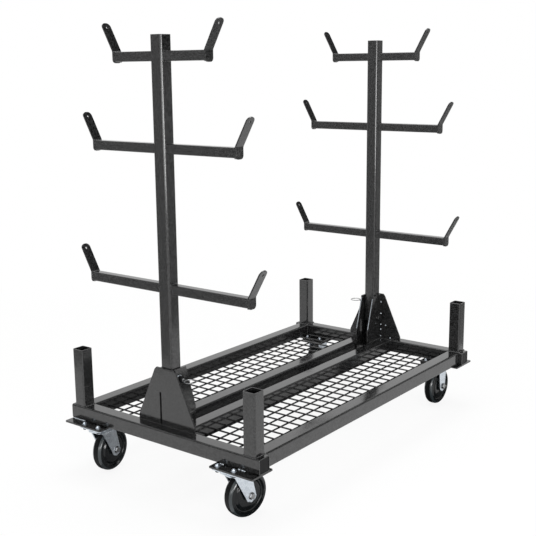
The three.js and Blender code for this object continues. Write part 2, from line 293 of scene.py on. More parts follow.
# Flat plate from an outline with holes, cut across at the given lines and then mapped in place. Its rounded
# edge is added outside the outline and inside the holes.
def plateMesh(name, outline, holes, thickness, edge, mapping, cuts=()):
    curve = bpy.data.curves.new(name, "CURVE")
    curve.dimensions = "2D"
    curve.fill_mode = "BOTH"
    curve.extrude = thickness / 2 - edge
    curve.bevel_depth = edge
    curve.bevel_resolution = 1
    for line in [outline, *holes]:
        spline = curve.splines.new("POLY")
        spline.points.add(len(line) - 1)
        for point, (a, b) in zip(spline.points, line):
            point.co = (a, b, 0, 1)
        spline.use_cyclic_u = True
    mesh = frozen(linked(name, curve))
    bpy.data.curves.remove(curve)
    work = bmesh.new()
    work.from_mesh(mesh)
    bmesh.ops.remove_doubles(work, verts=work.verts, dist=1e-4)
    for level in cuts:
        geometry = work.verts[:] + work.edges[:] + work.faces[:]
        bmesh.ops.bisect_plane(work, geom=geometry, dist=1e-5, plane_co=(0, level, 0), plane_no=(0, 1, 0))
    for vertex in work.verts:
        vertex.co = Vector(mapping(*vertex.co)) * mm
    bmesh.ops.recalc_face_normals(work, faces=work.faces)
    work.to_mesh(mesh)
    work.free()
    return mesh


# Sets a node's inputs: a socket is linked, anything else is its value.
def feed(tree, node, inputs):
    for label, value in inputs.items():
        if isinstance(value, bpy.types.NodeSocket):
            tree.links.new(value, node.inputs[label])
        else:
            node.inputs[label].default_value = value


def addNode(tree, kind, inputs, **settings):
    node = tree.nodes.new(kind)
    for label, value in settings.items():
        setattr(node, label, value)
    feed(tree, node, inputs)
    return node.outputs


# Geometry tree with named inputs besides the geometry itself.
def newTree(name, inputs):
    tree = bpy.data.node_groups.new(name, "GeometryNodeTree")
    tree.is_modifier = True
    for label, kind in {"Geometry": "Geometry", **inputs}.items():
        tree.interface.new_socket(name=label, in_out="INPUT", socket_type=f"NodeSocket{kind}")
    tree.interface.new_socket(name="Geometry", in_out="OUTPUT", socket_type="NodeSocketGeometry")
    return tree, tree.nodes.new("NodeGroupInput").outputs


# Ends a tree: one part on every point, made real and given its finish.
def endTree(tree, given, spread):
    parts = addNode(tree, "GeometryNodeInstanceOnPoints", spread)
    solid = addNode(tree, "GeometryNodeRealizeInstances", {"Geometry": parts["Instances"]})
    done = addNode(tree, "GeometryNodeSetMaterial", {
        "Geometry": solid["Geometry"],
        "Material": given["Finish"],
    })
    addNode(tree, "NodeGroupOutput", {"Geometry": done["Geometry"]})
    return tree


def runTree(piece, tree, values):
    modifier = piece.modifiers.new(tree.name, "NODES")
    modifier.node_group = tree
    for item in tree.interface.items_tree:
        if item.item_type == "SOCKET" and item.in_out == "INPUT" and item.name in values:
            modifier[item.identifier] = values[item.name]
    return frozen(piece)


# Materials.
def newMaterial(name):
    material = bpy.data.materials.new(name)
    material.use_nodes = True
    tree = material.node_tree
    return material, tree, tree.nodes.new("ShaderNodeTexCoord").outputs["Object"]


def noiseNode(tree, coordinates, scale, detail, stretch=(1, 1, 1)):
    mapped = addNode(tree, "ShaderNodeMapping", {"Vector": coordinates, "Scale": stretch})
    inputs = {"Vector": mapped["Vector"], "Scale": scale, "Detail": detail}
    return addNode(tree, "ShaderNodeTexNoise", inputs)["Fac"]


def rangeNode(tree, value, fromMin, fromMax, toMin, toMax):
    inputs = {"Value": value, "From Min": fromMin, "From Max": fromMax, "To Min": toMin, "To Max": toMax}
    return addNode(tree, "ShaderNodeMapRange", inputs)["Result"]


def mixColor(tree, factor, first, second):
    inputs = {"Factor": factor}
    for label, value in (("A", first), ("B", second)):
        inputs[label] = (*value, 1) if isinstance(value, tuple) else value
    return addNode(tree, "ShaderNodeMix", inputs, data_type="RGBA")["Result"]


def bumpNode(tree, height, strength, distance):
    inputs = {"Height": height, "Strength": strength, "Distance": distance}
    return addNode(tree, "ShaderNodeBump", inputs)["Normal"]


# A look's noises are given as scale and detail, its spans as the noise values that they start and end at.
paintLook = {
    "dark": (0.001, 0.001, 0.001),
    "light": (0.0245, 0.0248, 0.0252),
    "speckle": (190, 2),
    "speckleSpan": (0.34, 0.66),
    "scuff": (0.07, 0.07, 0.068),
    "scratch": (14, 6, (1, 9, 4)),
    "scratchSpan": (0.69, 0.78),
    "wear": 0.5,
    "patch": (32, 4),
    "patchSpan": (0.3, 0.7),
    "roughness": (0.09, 0.17),
    "peel": (0.2, 0.0004),
    "ior": 1.66,
}


def paintMaterial(name, look):
    material, tree, coordinates = newMaterial(name)
    speckle = noiseNode(tree, coordinates, *look["speckle"])
    tone = mixColor(tree, rangeNode(tree, speckle, *look["speckleSpan"], 0, 1), look["dark"], look["light"])
    scratch = noiseNode(tree, coordinates, *look["scratch"])
    worn = rangeNode(tree, scratch, *look["scratchSpan"], 0, look["wear"])
    patch = noiseNode(tree, coordinates, *look["patch"])
    feed(tree, tree.nodes["Principled BSDF"], {
        "Base Color": mixColor(tree, worn, tone, look["scuff"]),
        "Roughness": rangeNode(tree, patch, *look["patchSpan"], *look["roughness"]),
        "Normal": bumpNode(tree, speckle, *look["peel"]),
        "IOR": look["ior"],
    })
    return material


zincLook = {
    "dark": (0.47, 0.52, 0.57),
    "light": (0.75, 0.80, 0.85),
    "cells": 170,
    "cellShare": 0.35,
    "cloud": (40, 5),
    "cloudSpan": (0.3, 0.7),
    "cloudShare": (0.05, 0.65),
    "roughSpan": (0.25, 0.75),
    "roughness": (0.20, 0.38),
    "ripple": (0.08, 0.001),
}
# A darker copy of the zinc: the pull rings' darker steel, and painted shade on the axle bolts in place of
# their bright reflection.
darkSteelAndShadeLook = {
    **zincLook,
    "dark": (0.20, 0.205, 0.21),
    "light": (0.36, 0.365, 0.37),
    "roughness": (0.18, 0.32),
}


def zincMaterial(name, look):
    material, tree, coordinates = newMaterial(name)
    cells = addNode(tree, "ShaderNodeTexVoronoi", {"Vector": coordinates, "Scale": look["cells"]})
    split = addNode(tree, "ShaderNodeSeparateColor", {"Color": cells["Color"]})
    cloud = noiseNode(tree, coordinates, *look["cloud"])
    cloudy = rangeNode(tree, cloud, *look["cloudSpan"], *look["cloudShare"])
    terms = {0: split["Red"], 1: look["cellShare"], 2: cloudy}
    blend = addNode(tree, "ShaderNodeMath", terms, operation="MULTIPLY_ADD")["Value"]
    feed(tree, tree.nodes["Principled BSDF"], {
        "Base Color": mixColor(tree, blend, look["dark"], look["light"]),
        "Roughness": rangeNode(tree, cloud, *look["roughSpan"], *look["roughness"]),
        "Normal": bumpNode(tree, cloud, *look["ripple"]),
        "Metallic": 1.0,
    })
    return material


# The wheel's tones lean slightly blue: a painted tint of the teal reflections on it.
wheelLook = {
    "dark": (0.0022, 0.003, 0.0034),
    "light": (0.005, 0.0062, 0.0068),
    "cloud": (18, 5),
    "cloudSpan": (0.3, 0.7),
    "scuff": (75, 5),
    "scuffSpan": (0.35, 0.75),
    "roughness": (0.08, 0.15),
    "ripple": (0.05, 0.0006),
    "ior": 1.38,
}
treadLook = {
    **wheelLook,
    "dark": (0.0025, 0.0027, 0.0029),
    "light": (0.006, 0.0063, 0.0066),
    "roughness": (0.38, 0.55),
    "ior": 1.2,
}
# The wheels' grey edges: a painted sheen on the rounded shoulders.
edgeSheenLook = {
    **wheelLook,
    "dark": (0.011, 0.0145, 0.016),
    "light": (0.024, 0.031, 0.034),
    "roughness": (0.16, 0.28),
    "ior": 1.6,
}
barrelLook = {
    **wheelLook,
    "dark": (0.004, 0.004, 0.0043),
    "light": (0.010, 0.010, 0.0107),
    "roughness": (0.30, 0.45),
    "ior": 1.2,
}


def mouldedMaterial(name, look):
    material, tree, coordinates = newMaterial(name)
    cloud = noiseNode(tree, coordinates, *look["cloud"])
    scuff = noiseNode(tree, coordinates, *look["scuff"])
    cloudy = rangeNode(tree, cloud, *look["cloudSpan"], 0, 1)
    feed(tree, tree.nodes["Principled BSDF"], {
        "Base Color": mixColor(tree, cloudy, look["dark"], look["light"]),
        "Roughness": rangeNode(tree, scuff, *look["scuffSpan"], *look["roughness"]),
        "Normal": bumpNode(tree, scuff, *look["ripple"]),
        "IOR": look["ior"],
    })
    return material


# Each finish is a material and its slot.
paint = (paintMaterial("charcoalPaint", paintLook), "charcoal_paint")
zinc = (zincMaterial("zincPlate", zincLook), "zinc")
darkSteelAndShade = (zincMaterial("darkSteelAndShade", darkSteelAndShadeLook), "zinc")
wheelBlack = (mouldedMaterial("wheelBlack", wheelLook), "wheel_black")
treadBlack = (mouldedMaterial("treadBlack", treadLook), "wheel_black")
edgeSheenGrey = (mouldedMaterial("edgeSheenGrey", edgeSheenLook), "wheel_black")
barrelBlack = (mouldedMaterial("barrelBlack", barrelLook), "plunger_black")
print("stage: materials made")

# Base rails.
rail = {"size": 50.8, "wall": 3.0, "corner": 6.0, "endHalf": 416.5}
railMiddle = cart["railBottom"] + rail["size"] / 2
endMiddle = cart["endFace"] - rail["size"] / 2
for end, facts in ends.items():
    middle = (facts["sign"] * endMiddle, 0, railMiddle)
    tube = squareTube(rail, "y", middle, -rail["endHalf"], rail["endHalf"])
    addSolid(f"{end}EndRail", tube, paint, "base", [f"{end}_end_rail"])
for side, sign in sides.items():
    for lane in ("side", "center"):
        middle = (0, sign * cart[f"{lane}Middle"], railMiddle)
        tube = squareTube(rail, "x", middle, -cart["innerFace"], cart["innerFace"])
        addSolid(f"{side}{lane.capitalize()}Rail", tube, paint, "base", [f"{side}_{lane}_rail"])

# Corner stakes.
stake = {"size": 47.6, "wall": 3.0, "corner": 6.0, "height": 203.0}
for end, facts in ends.items():
    for side, sign in sides.items():
        middle = (facts["sign"] * endMiddle, sign * cart["sideMiddle"], 0)
        tube = squareTube(stake, "z", middle, cart["railTop"], cart["railTop"] + stake["height"])
        addSolid(f"{end}{side.capitalize()}Stake", tube, paint, "base", [f"{end}_{side}_stake"])
print("stage: rails and stakes made")

# Deck mesh: two layers of round wires in each tray, the long ones under the cross ones.
deck = {
    "wire": 6.0,
    "facets": 10,
    "top": 196.8,
    "inner": 80.9,
    "outer": 351.2,
    "pitchAlong": 49.0,
    "pitchAcross": 49.6,
    "offsetAlong": 41.8,
    "offsetAcross": {"left": 38.1, "right": 3.2},
}


def wireTree():
    tree, given = newTree("wireRows", {
        "Length": "Float",
        "Start": "Vector",
        "Step": "Vector",
        "Direction": "Vector",
        "Count": "Int",
        "Radius": "Float",
        "Facets": "Int",
        "Finish": "Material",
    })
    row = addNode(tree, "GeometryNodeMeshLine", {
        "Count": given["Count"],
        "Start Location": given["Start"],
        "Offset": given["Step"],
    }, mode="OFFSET")
    line = addNode(tree, "GeometryNodeCurvePrimitiveLine", {
        "Direction": given["Direction"],
        "Length": given["Length"],
    }, mode="DIRECTION")
    ring = addNode(tree, "GeometryNodeCurvePrimitiveCircle", {
        "Resolution": given["Facets"],
        "Radius": given["Radius"],
    })
    wire = addNode(tree, "GeometryNodeCurveToMesh", {
        "Curve": line["Curve"],
        "Profile Curve": ring["Curve"],
        "Fill Caps": True,
    })
    return endTree(tree, given, {"Points": row["Mesh"], "Instance": wire["Mesh"]})


wireRows = wireTree()
for side, sign in sides.items():
    radius = deck["wire"] / 2 * mm
    half = cart["innerFace"] * mm
    inner = deck["inner"] * mm
    width = (deck["outer"] - deck["inner"]) * mm
    low = min(sign * deck["inner"], sign * deck["outer"]) * mm
    top = deck["top"] * mm
    along = deck["pitchAlong"] * mm
    across = deck["pitchAcross"] * mm
    startAlong = deck["offsetAlong"] * mm
    startAcross = deck["offsetAcross"][side] * mm
    layers = {
        "Long": {
            "Length": 2 * half,
            "Start": (-half, sign * (inner + startAcross), top - 3 * radius),
            "Step": (0, sign * across, 0),
            "Direction": (1, 0, 0),
            "Count": int((width - startAcross) / across) + 1,
        },
        "Cross": {
            "Length": width,
            "Start": (-half + startAlong, low, top - radius),
            "Step": (along, 0, 0),
            "Direction": (0, 1, 0),
            "Count": int((2 * half - startAlong) / along) + 1,
        },
    }
    for layer, values in layers.items():
        name = f"{side}Deck{layer}Wires"
        values = {**values, "Radius": radius, "Facets": deck["facets"], "Finish": paint[0]}
        mesh = runTree(loosePiece(name, [origin]), wireRows, values)
        addPiece(name, mesh, paint, "base", [f"{side}_deck_mesh"] if layer == "Long" else [])
print("stage: deck mesh made")

# Mast brackets: a slotted plate and two gussets at each end.
bracket = {
    "plate": 6.4,
    "height": 195.0,
    "topHalf": 46.0,
    "footHalf": 123.0,
    "foot": 18.0,
    "footGap": 0.4,
    "chamfer": 8.0,
    "slotY": 23.1,
    "slotHalf": 4.3,
    "slotLength": 113.0,
    "gusset": 6.0,
    "gussetDepth": 56.0,
    "gussetNeck": 14.0,
    "gussetKnee": 48.0,
    "gussetDrop": 2.0,
    "gussetInset": 0.7,
    "pinHole": 6.3,
    "edge": 0.6,
}
plateMiddle = -cart["plateFace"] - bracket["plate"] / 2
gussetMiddle = cart["channelHalf"] - bracket["gusset"] / 2
mastInside = -cart["mastX"] + cart["mastHalf"]
neck = (mastInside + bracket["gussetNeck"], cart["railTop"] + bracket["height"] - bracket["gussetDrop"])
knee = (mastInside + bracket["gussetDepth"], cart["railTop"] + bracket["gussetKnee"])


def plateLine():
    foot = bracket["footHalf"]
    crown = bracket["topHalf"]
    high = bracket["height"]
    cut = bracket["chamfer"]
    low = bracket["footGap"]
    slotY = bracket["slotY"]
    slotHalf = bracket["slotHalf"]
    line = [(-foot, low), (slotY - slotHalf, low)]
    line += arcLine(slotY, bracket["slotLength"] - slotHalf, slotHalf, math.pi, 0, steps=8)
    line += [(slotY + slotHalf, low), (foot, low), (foot, bracket["foot"]), (crown, high - cut)]
    line += [(crown - cut, high), (-crown + cut, high), (-crown, high - cut), (-foot, bracket["foot"])]
    return line


def gussetLine():
    inset = bracket["gussetInset"]
    railX = -cart["innerFace"] + inset
    plateX = -cart["plateFace"] + inset
    low = cart["railBottom"] + inset
    step = cart["railTop"] + inset
    return [(railX, low), (knee[0], low), knee, neck, (plateX, neck[1]), (plateX, step), (railX, step)]


pinHole = circleLine(-cart["mastX"], cart["pinZ"], bracket["pinHole"] + bracket["edge"], steps=32)
for end, facts in ends.items():
    name = f"{end}MastPlate"
    mesh = plateMesh(
        name, plateLine(), [], bracket["plate"], bracket["edge"],
        lambda a, b, c: turned(end, (plateMiddle + c, a, cart["railTop"] + b)),
    )
    addPiece(name, mesh, paint, "base", [f"{end}_mast_plate"])
    for sign, holes in ((1, []), (-1, [pinHole])):
        side = "left" if sign * -facts["sign"] > 0 else "right"
        name = f"{end}{side.capitalize()}Gusset"
        mesh = plateMesh(
            name, gussetLine(), holes, bracket["gusset"], bracket["edge"],
            lambda a, b, c: turned(end, (a, sign * gussetMiddle + c, b)),
        )
        addPiece(name, mesh, paint, "base", [f"{end}_{side}_gusset"])

# Bright zinc line along each gusset's sloping edge: a painted highlight on the edge.
edgeHighlight = {"half": 1.7, "low": 0.2, "rise": 0.85, "inset": 9.0}


def edgeHighlightStrip(end, middle):
    high = Vector(neck)
    low = Vector(knee)
    along = (low - high).normalized()
    out = Vector((-along.y, along.x))
    rings = []
    for place in (high + along * edgeHighlight["inset"], low - along * edgeHighlight["inset"]):
        ring = []
        for wide, level in ((-1, "low"), (1, "low"), (1, "rise"), (-1, "rise")):
            x, z = place + out * edgeHighlight[level]
            ring.append(turned(end, (x, middle + wide * edgeHighlight["half"], z)))
        rings.append(ring)
    return stacked(rings)


edges = joined([edgeHighlightStrip(end, sign * gussetMiddle) for end in ends for sign in (1, -1)])
addSolid("rubbedEdges", edges, zinc, "base")

# Pivot bolts.
pivot = {
    "shank": 8.0,
    "hole": 8.3,
    "head": 14.0,
    "headHeight": 8.0,
    "washer": 15.5,
    "washerHeight": 2.2,
    "gap": 0.3,
}
for end, facts in ends.items():
    middle = (facts["sign"] * cart["mastX"], 0, facts["pivotZ"])
    shape = throughBolt(pivot, middle, cart["channelHalf"], cart["channelHalf"] + pivot["gap"])
    addSolid(f"{end}PivotBolt", shape, paint, "base", [f"{end}_pivot_bolt"])

# Pull-pin plungers: a grooved barrel with a nut, a pin and a round pull ring.
plunger = {
    "length": 22.0,
    "radius": 11.0,
    "bore": 6.3,
    "gap": 0.2,
    "ribs": 4,
    "plain": 6.0,
    "cap": 3.0,
    "groove": 0.9,
    "grooveParts": (0.6, 0.7, 0.9),
    "chamfer": 1.5,
    "pin": 6.0,
    "noseEdge": (1.2, 1.5),
    "neckGap": 1.0,
    "shoulder": 1.5,
    "stem": 2.6,
    "stemEdge": (0.8, 1.0),
    "setback": 0.4,
    "stub": 12.0,
    "ring": 42.0,
    "ringWire": 2.8,
    "nut": 15.0,
    "nutHeight": 5.5,
    "nutBevel": 0.8,
    "nutSteps": 4,
}


# Hexagon with the given corner radius, its sides divided into equal steps.
def hexLine(radius, steps):
    corners = circleLine(0, 0, radius, 6)
    line = []
    for i, a in enumerate(corners):
        b = corners[(i + 1) % 6]
        line += [(a[0] + (b[0] - a[0]) * k / steps, a[1] + (b[1] - a[1]) * k / steps) for k in range(steps)]
    return line


def barrelLine():
    radius = plunger["radius"]
    bore = plunger["bore"]
    length = plunger["length"]
    low = radius - plunger["groove"]
    line = [(bore, plunger["gap"]), (radius, plunger["gap"]), (radius, plunger["plain"])]
    step = (length - plunger["plain"] - plunger["cap"]) / plunger["ribs"]
    for i in range(plunger["ribs"]):
        start = plunger["plain"] + step * i
        first, second, third = (start + step * part for part in plunger["grooveParts"])
        line += [(radius, first), (low, second), (low, third), (radius, start + step)]
    cut = plunger["chamfer"]
    return line + [(radius, length - cut), (radius - cut, length), (bore, length)]


def pinLevels(nose, shoulder, tail):
    pin = plunger["pin"]
    stem = plunger["stem"]
    noseCut, noseLength = plunger["noseEdge"]
    stemCut, stemLength = plunger["stemEdge"]
    return [
        (pin - noseCut, nose),
        (pin, nose + noseLength),
        (pin, shoulder),
        (stem, shoulder + plunger["shoulder"]),
        (stem, tail - stemLength),
        (stem - stemCut, tail),
    ]


for end, facts in ends.items():
    direction = facts["sign"]
    middle = (direction * cart["mastX"], 0, cart["pinZ"])
    start = cart["channelHalf"]
    barrel = [(r, direction * (start + s)) for r, s in barrelLine()]
    shape = revolved(barrel, "y", middle, steps=32)
    addSolid(f"{end}PlungerBarrel", shape, barrelBlack, "base", [f"{end}_plunger_barrel"])

    inner = circleLine(0, 0, plunger["radius"] + plunger["gap"], 6 * plunger["nutSteps"])
    outer = hexLine(plunger["nut"], plunger["nutSteps"])
    nutTop = plunger["nutHeight"]
    slices = [
        (inner, plunger["gap"]),
        (outer, plunger["gap"]),
        (outer, nutTop - plunger["nutBevel"]),
        (inner, nutTop),
    ]
    stations = [(ring, direction * (start + s)) for ring, s in slices]
    addSolid(f"{end}PlungerNut", strip(ringsAlong("y", middle, stations), True), zinc, "base")

    nose = start - bracket["gusset"] + plunger["setback"]
    tail = start + plunger["length"] + plunger["stub"]
    shoulder = start + plunger["length"] + plunger["neckGap"]
    shaft = rod(pinLevels(nose, shoulder, tail), "y", middle, 0, direction, steps=24)
    wire = plunger["ringWire"] / 2
    ringLine = circleLine(plunger["ring"] / 2 - wire, cart["pinZ"], wire, steps=12)
    ringY = tail + plunger["ring"] / 2 - plunger["ringWire"]
    points, faces = revolved(ringLine, "z", (middle[0], ringY, 0), steps=48)
    loop = ([(x, direction * y, z) for x, y, z in points], faces)
    addSolid(f"{end}LockPin", joined([shaft, loop]), darkSteelAndShade, f"{end}_pull_pin", [f"{end}_lock_pin"])
print("stage: brackets and pins made")

# Masts: square tubes with a rounded foot, holes for the pivot bolt and one for the pull pin.
mast = {"size": 47.6, "wall": 3.0, "corner": 8.0, "top": 1481.8, "spare": 3.0}
for end, facts in ends.items():
    sign = facts["sign"]
    x = sign * cart["mastX"]
    half = mast["size"] / 2
    wide = half + mast["spare"]
    pivotZ = facts["pivotZ"]
    tube = squareTube(mast, "z", (x, 0, 0), pivotZ - half, mast["top"])
    shaped = linked(f"{end}MastRaw", meshFrom(f"{end}Mast", *tube))
    profile = [(wide, mast["top"] + mast["spare"]), (-wide, mast["top"] + mast["spare"]), (-wide, pivotZ)]
    profile += arcLine(0, pivotZ, half, 2 * quarter, 4 * quarter, steps=24)
    profile += [(wide, pivotZ)]
    foot = stacked([[(x + a, y, b) for a, b in profile] for y in (-wide, wide)])
    deep = mast["wall"] + 2 * mast["spare"]
    drills = joined([
        disc(bracket["pinHole"], deep, "y", (x, 0, cart["pinZ"]), sign * wide, -sign),
        disc(pivot["hole"], 2 * wide, "y", (x, 0, pivotZ), -wide, 1),
    ])
    cutters = []
    for operation, shape in (("INTERSECT", foot), ("DIFFERENCE", drills)):
        cutter = linked(f"{end}MastCutter", meshFrom(f"{end}MastCutter", *shape))
        change = shaped.modifiers.new(operation.lower(), "BOOLEAN")
        change.operation = operation
        change.solver = "EXACT"
        change.object = cutter
        cutters.append(cutter)
    mesh = cleaned(frozen(shaped))
    for cutter in cutters:
        bpy.data.objects.remove(cutter)
    addPiece(f"{end}Mast", mesh, paint, f"{end}_folding_mast", [f"{end}_mast"])

# Arms through the masts, and the bent flat tips welded to their ends.
arm = {"size": 31.0, "wall": 2.0, "corner": 4.0}
tip = {
    "half": 17.0,
    "thickness": 5.0,
    "lean": 29.0,
    "reach": 100.0,
    "foot": 3.5,
    "knee": 2.0,
    "corner": 14.0,
    "footCorner": 11.0,
    "hole": 4.5,
    "holeInset": 15.0,
    "bendHalf": 4.0,
    "bendSteps": 6,
    "edge": 0.6,
}
bend = arm["size"] / 2 + tip["knee"]
bendLow = bend - tip["bendHalf"]
lean = math.radians(tip["lean"])


# Place on a tip's section, as distance out from the arm's end and height, for a length along the bar and a
# depth in it.
def bentBar(s, depth):
    part = min(max((s - bendLow) / (2 * tip["bendHalf"]), 0), 1)
    angle = lean * part
    radius = 2 * tip["bendHalf"] / lean
    out = radius * (1 - math.cos(angle))
    up = min(s, bendLow) + radius * math.sin(angle)
    rest = max(s - bendLow - 2 * tip["bendHalf"], 0)
    out += rest * math.sin(angle) + depth * math.cos(angle)
    up += rest * math.cos(angle) - depth * math.sin(angle)
    return out, up


def tipLine():
    foot = tip["footCorner"]
    corner = tip["corner"]
    low = -arm["size"] / 2 - tip["foot"] + foot
    high = bend + tip["reach"] - corner
    footX = tip["half"] - foot
    topX = tip["half"] - corner
    return (
        arcLine(-footX, low, foot, 2 * quarter, 3 * quarter, steps=5)
        + arcLine(footX, low, foot, 3 * quarter, 4 * quarter, steps=5)
        + arcLine(topX, high, corner, 0, quarter, steps=8)
        + arcLine(-topX, high, corner, quarter, 2 * quarter, steps=8)
    )


tipHole = circleLine(0, bend + tip["reach"] - tip["holeInset"], tip["hole"], steps=20)
bendSteps = tip["bendSteps"]
tipCuts = [bendLow + 2 * tip["bendHalf"] * i / bendSteps for i in range(bendSteps + 1)]
for end, facts in ends.items():
    x = facts["sign"] * cart["mastX"]
    body = f"{end}_folding_mast"
    for level, bar in arms.items():
        half = bar["length"] / 2
        name = f"{end}{level.capitalize()}Arm"
        tube = squareTube(arm, "y", (x, 0, bar["height"]), -half, half)
        addSolid(name, tube, paint, body, [f"{end}_{level}_arm"])
        for side, sign in sides.items():

            def tipPlace(a, b, c):
                out, up = bentBar(b, c + tip["thickness"] / 2)
                return (x + a, sign * (half + out), bar["height"] + up)

            name = f"{end}{level.capitalize()}{side.capitalize()}Tip"
            mesh = plateMesh(name, tipLine(), [tipHole], tip["thickness"], tip["edge"], tipPlace, tipCuts)
            addPiece(name, mesh, paint, body, [f"{end}_{level}_{side}_tip"])
print("stage: masts, arms and tips made")

# Weld beads: overlapping drops along the joint lines. Spots are places on the plate's back, as distance from
# the channel and height, and glint beads run along the foot of the end rails, from one place to another. The
# spots and the glint beads are zinc: painted glints on the welds.
weld = {
    "bead": {"base": 2.6, "foot": 1.3, "spot": 2.86, "pad": 2.08, "mast": 2.08},
    "pitch": 3.0,
    "spread": 0.22,
    "seed": 7,
    "sink": 1.0,
    "inset": 3.0,
    "gussetRun": 88.0,
    "spotLength": 2.0,
    "spots": [(0, 8), (0, 38), (0, 60), (0, 108), (0, 158), (24, 59), (48, 6)],
    "glintRuns": [(354, 407), (-341, -335), (-359, -349), (-275, -262)],
}


def weldTree():
    tree, given = newTree("weldRun", {
        "Bead": "Float",
        "Pitch": "Float",
        "Smallest": "Vector",
        "Largest": "Vector",
        "Seed": "Int",
        "Finish": "Material",
    })
    path = addNode(tree, "GeometryNodeMeshToCurve", {"Mesh": given["Geometry"]})
    beads = addNode(tree, "GeometryNodeResampleCurve", {
        "Curve": path["Curve"],
        "Length": given["Pitch"],
    }, mode="LENGTH")
    drop = addNode(tree, "GeometryNodeMeshIcoSphere", {"Subdivisions": 2, "Radius": given["Bead"]})
    vary = addNode(tree, "FunctionNodeRandomValue", {
        "Min": given["Smallest"],
        "Max": given["Largest"],
        "Seed": given["Seed"],
    }, data_type="FLOAT_VECTOR")
    spread = {"Points": beads["Curve"], "Instance": drop["Mesh"], "Scale": vary["Value"]}
    return endTree(tree, given, spread)


weldRun = weldTree()


def loopLines(corners):
    return [(corner, corners[(i + 1) % len(corners)]) for i, corner in enumerate(corners)]


def addWelds(name, segments, body, bead, finish=paint):
    points = [point for segment in segments for point in segment]
    path = loosePiece(name, points, [(2 * i, 2 * i + 1) for i in range(len(segments))])
    values = {
        "Bead": weld["bead"][bead] * mm,
        "Pitch": weld["pitch"] * mm,
        "Smallest": (1 - weld["spread"],) * 3,
        "Largest": (1 + weld["spread"],) * 3,
        "Seed": weld["seed"],
        "Finish": finish[0],
    }
    addPiece(name, runTree(path, weldRun, values), finish, body, sharp=60)


baseLines = []
footLines = []
spotLines = []
glintLines = []
foot = bracket["footHalf"]
face = -cart["plateFace"]
channel = cart["channelHalf"]
railTop = cart["railTop"]
seam = railTop - weld["sink"]
for end, facts in ends.items():
    for sign in sides.values():
        x = facts["sign"] * endMiddle
        y = sign * cart["sideMiddle"]
        half = stake["size"] / 2
        baseLines += loopLines([(x + a * half, y + b * half, railTop) for a, b in boxCorners])
        inner = facts["sign"] * cart["innerFace"]
        low = cart["railBottom"] + weld["inset"]
        for middle in (cart["sideMiddle"], cart["centerMiddle"]):
            a = sign * (middle - rail["size"] / 2)
            b = sign * (middle + rail["size"] / 2)
            baseLines.append(((inner, a, seam), (inner, b, seam)))
            baseLines.append(((inner, a, low), (inner, a, railTop - weld["inset"])))
    run = face + weld["gussetRun"]
    lines = [
        ((face, -foot, seam), (face, -channel, seam)),
        ((face, channel, seam), (face, foot, seam)),
        ((face, -channel, railTop), (run, -channel, railTop)),
        ((face, channel, railTop), (run, channel, railTop)),
    ]
    baseLines += [tuple(turned(end, p) for p in line) for line in lines]
    front = face - bracket["plate"]
    footLines.append((turned(end, (front, -foot, railTop)), turned(end, (front, foot, railTop))))
    for across, up in weld["spots"]:
        for y in (-channel - across, channel + across):
            low = railTop + up
            high = low + weld["spotLength"]
            spotLines.append((turned(end, (face, y, low)), turned(end, (face, y, high))))
    for start, stop in weld["glintRuns"]:
        x = facts["sign"] * cart["endFace"]
        z = cart["railBottom"] + weld["sink"]
        glintLines.append(((x, start, z), (x, stop, z)))
addWelds("baseWelds", baseLines, "base", "base")
addWelds("footWelds", footLines, "base", "foot")
# Zinc spot beads and pad beads: painted glints on the welds.
addWelds("spotWelds", spotLines, "base", "spot", zinc)
addWelds("padWelds", glintLines, "base", "pad", zinc)

for end, facts in ends.items():
    x = facts["sign"] * cart["mastX"]
    half = arm["size"] / 2
    lines = []
    for bar in arms.values():
        for y in (-cart["mastHalf"], cart["mastHalf"], -bar["length"] / 2, bar["length"] / 2):
            lines += loopLines([(x + a * half, y, bar["height"] + b * half) for a, b in boxCorners])
    addWelds(f"{end}MastWelds", lines, f"{end}_folding_mast", "mast")
print("stage: welds made")

# Caster pads.
pad = {
    "width": 172.0,
    "depth": {"front": 101.0, "rear": 124.0},
    "thickness": 6.0,
    "overhang": 34.0,
    "corner": 3.0,
    "edge": 0.7,
}
padMiddle = cart["padBottom"] + pad["thickness"] / 2
for end, facts in ends.items():
    for side, sign in sides.items():
        depth = pad["depth"][end]
        x = facts["sign"] * (cart["endFace"] + pad["overhang"] - depth / 2)
        y = sign * (rail["endHalf"] - pad["width"] / 2)
        box = roundedBox(depth - 2 * pad["edge"], pad["width"] - 2 * pad["edge"], pad["corner"], steps=4)
        outline = [(x + a, y + b) for a, b in box]
        name = f"{end}{side.capitalize()}CasterPad"
        mesh = plateMesh(
            name, outline, [], pad["thickness"], pad["edge"],
            lambda a, b, c: (a, b, padMiddle + c),
        )
        addPiece(name, mesh, paint, "base", [f"{end}_{side}_caster_pad"])

# Caster bolts: a zinc head with a washer and a thread end above each pad, a dark nut below.
bolt = {
    "rows": {"front": (-712.0, -634.0), "rear": (688.0, 616.0)},
    "spanWide": 66.0,
    "radius": 7.2,
    "height": 5.5,
    "washer": 9.0,
    "washerHeight": 1.4,
    "stud": 3.9,
    "studHeight": 3.0,
    "studRoot": 0.5,
    "studSteps": 18,
    "grip": 11.2,
    "nutHeight": 7.2,
    "tail": 1.0,
}


def scatterTree():
    tree, given = newTree("partSet", {"Part": "Object", "Finish": "Material"})
    source = addNode(tree, "GeometryNodeObjectInfo", {"Object": given["Part"]})
    return endTree(tree, given, {"Points": given["Geometry"], "Instance": source["Geometry"]})


partSet = scatterTree()


# Puts the same part on every point, as one piece of the base.
def addSet(name, part, points, finish):
    source = linked(f"{name}Source", part)
    mesh = runTree(loosePiece(name, points), partSet, {"Part": source, "Finish": finish[0]})
    addPiece(name, mesh, finish, "base")
    bpy.data.objects.remove(source)


